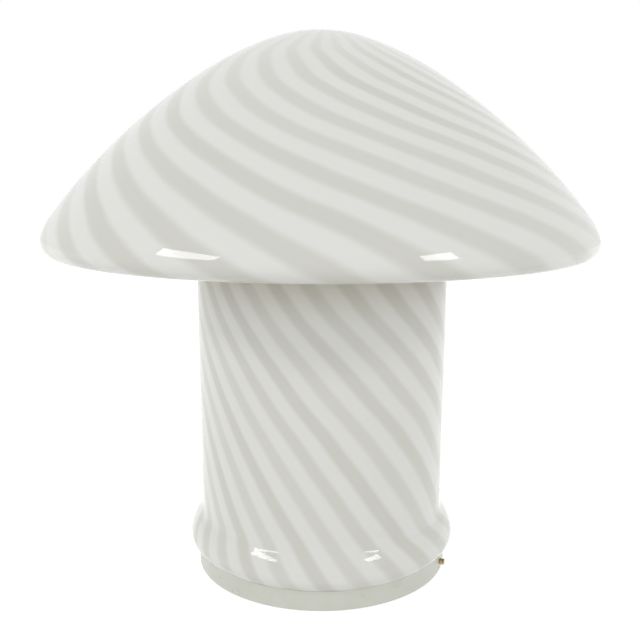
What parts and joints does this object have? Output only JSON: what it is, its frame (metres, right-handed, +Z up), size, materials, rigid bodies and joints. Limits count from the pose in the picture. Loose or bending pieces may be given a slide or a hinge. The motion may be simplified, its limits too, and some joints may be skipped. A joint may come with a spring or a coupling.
{
  "type": "table lamp",
  "caption": "Table lamp with a domed cap and stem blown as one piece of glass, held by small clamping screws in a low lacquered metal ring.",
  "frame": {"origin": "centre of the felt foot, on the surface that the lamp stands on", "axes": "+Z up along the axis of the lamp, -Y towards the viewer of the picture, +Y towards the notch for the lead"},
  "size_m": [0.3998, 0.3998, 0.396],
  "materials": {
    "white_glass": "blown glass with white swirls, glossy",
    "white_lacquer": "smooth semi-gloss lacquer",
    "zinc_plate": "zinc plated",
    "cover_lacquer": "satin lacquer",
    "felt": "dense wool felt",
    "soft_seal": "matt",
    "brass": "polished, slightly dulled",
    "nylon": "natural nylon",
    "holder_moulding": "moulded thermoset",
    "steatite": "glazed",
    "opal_bulb": "opal inside coating",
    "clear_glass": "clear",
    "black_glass": "glossy",
    "bulb_shell": "rolled sheet",
    "solder": "dull",
    "brown_sleeve": "smooth",
    "blue_sleeve": "smooth"
  },
  "bodies": {
    "base": {"base_ring": "white_lacquer", "carrier_plate": "zinc_plate", "seat_gasket": "soft_seal", "felt_ring": "felt", "bottom_cover": "cover_lacquer", "cover_pillars": "zinc_plate", "cover_screws": "zinc_plate", "cord_grommet": "soft_seal", "clamp_bushes": "brass", "lamp_pipe": "zinc_plate", "pipe_washers": "zinc_plate", "pipe_nut_lower": "zinc_plate", "pipe_nut_upper": "zinc_plate", "holder_lock_nut": "zinc_plate", "holder_cap": "holder_moulding", "holder_grub_screw": "zinc_plate", "holder_insert": "steatite", "holder_skirt": "holder_moulding", "centre_contact": "brass", "side_contact": "brass", "terminal_screws": "brass", "connector_strip": "nylon", "connector_sleeves": "brass", "connector_screws": "zinc_plate", "strip_fixing_screw": "zinc_plate", "strip_fixing_nut": "zinc_plate", "live_lead": "brown_sleeve", "neutral_lead": "blue_sleeve"},
    "glass": {"glass_body": "white_glass", "ground_neck": "white_glass"},
    "pad_right": {"clamp_pad_right": "nylon"},
    "screw_right": {"thumbscrew_right": "brass"},
    "pad_left": {"clamp_pad_left": "nylon"},
    "screw_left": {"thumbscrew_left": "brass"},
    "bulb_tip": {"bulb_contact": "solder"},
    "bulb": {"bulb_insulator": "black_glass", "bulb_cap": "bulb_shell", "bulb_glass": "opal_bulb", "bulb_mount": "clear_glass", "bulb_filament": "solder"}
  },
  "joints": [
    {"name": "glass_lift", "type": "slide", "parent": "base", "child": "glass", "axis": [0, 0, 1], "range_m": [0, 0.26]},
    {"name": "pad_right_slide", "type": "slide", "parent": "base", "child": "pad_right", "axis": [0.9336, -0.3584, 0], "range_m": [0, 0.002]},
    {"name": "screw_right_turn", "type": "hinge", "parent": "pad_right", "child": "screw_right", "pos_m": [0.08944, -0.03433, 0.0072], "axis": [0.9336, -0.3584, 0], "range_deg": [0, 1444]},
    {"name": "pad_left_slide", "type": "slide", "parent": "base", "child": "pad_left", "axis": [-0.9336, 0.3584, 0], "range_m": [0, 0.002]},
    {"name": "screw_left_turn", "type": "hinge", "parent": "pad_left", "child": "screw_left", "pos_m": [-0.08944, 0.03433, 0.0072], "axis": [-0.9336, 0.3584, 0], "range_deg": [0, 1444]},
    {"name": "bulb_rise", "type": "slide", "parent": "base", "child": "bulb_tip", "axis": [0, 0, 1], "range_m": [0, 0.0236]},
    {"name": "bulb_turn", "type": "hinge", "parent": "bulb_tip", "child": "bulb", "pos_m": [0, 0, 0.165], "axis": [0, 0, 1], "range_deg": [0, 2340]}
  ],
  "couplings": [
    {"joint": "screw_right_turn", "follows": "pad_right_slide", "rad_per_m": 12566},
    {"joint": "screw_left_turn", "follows": "pad_left_slide", "rad_per_m": 12566},
    {"joint": "bulb_rise", "follows": "bulb_turn", "m_per_rad": 0.00057757}
  ]
}
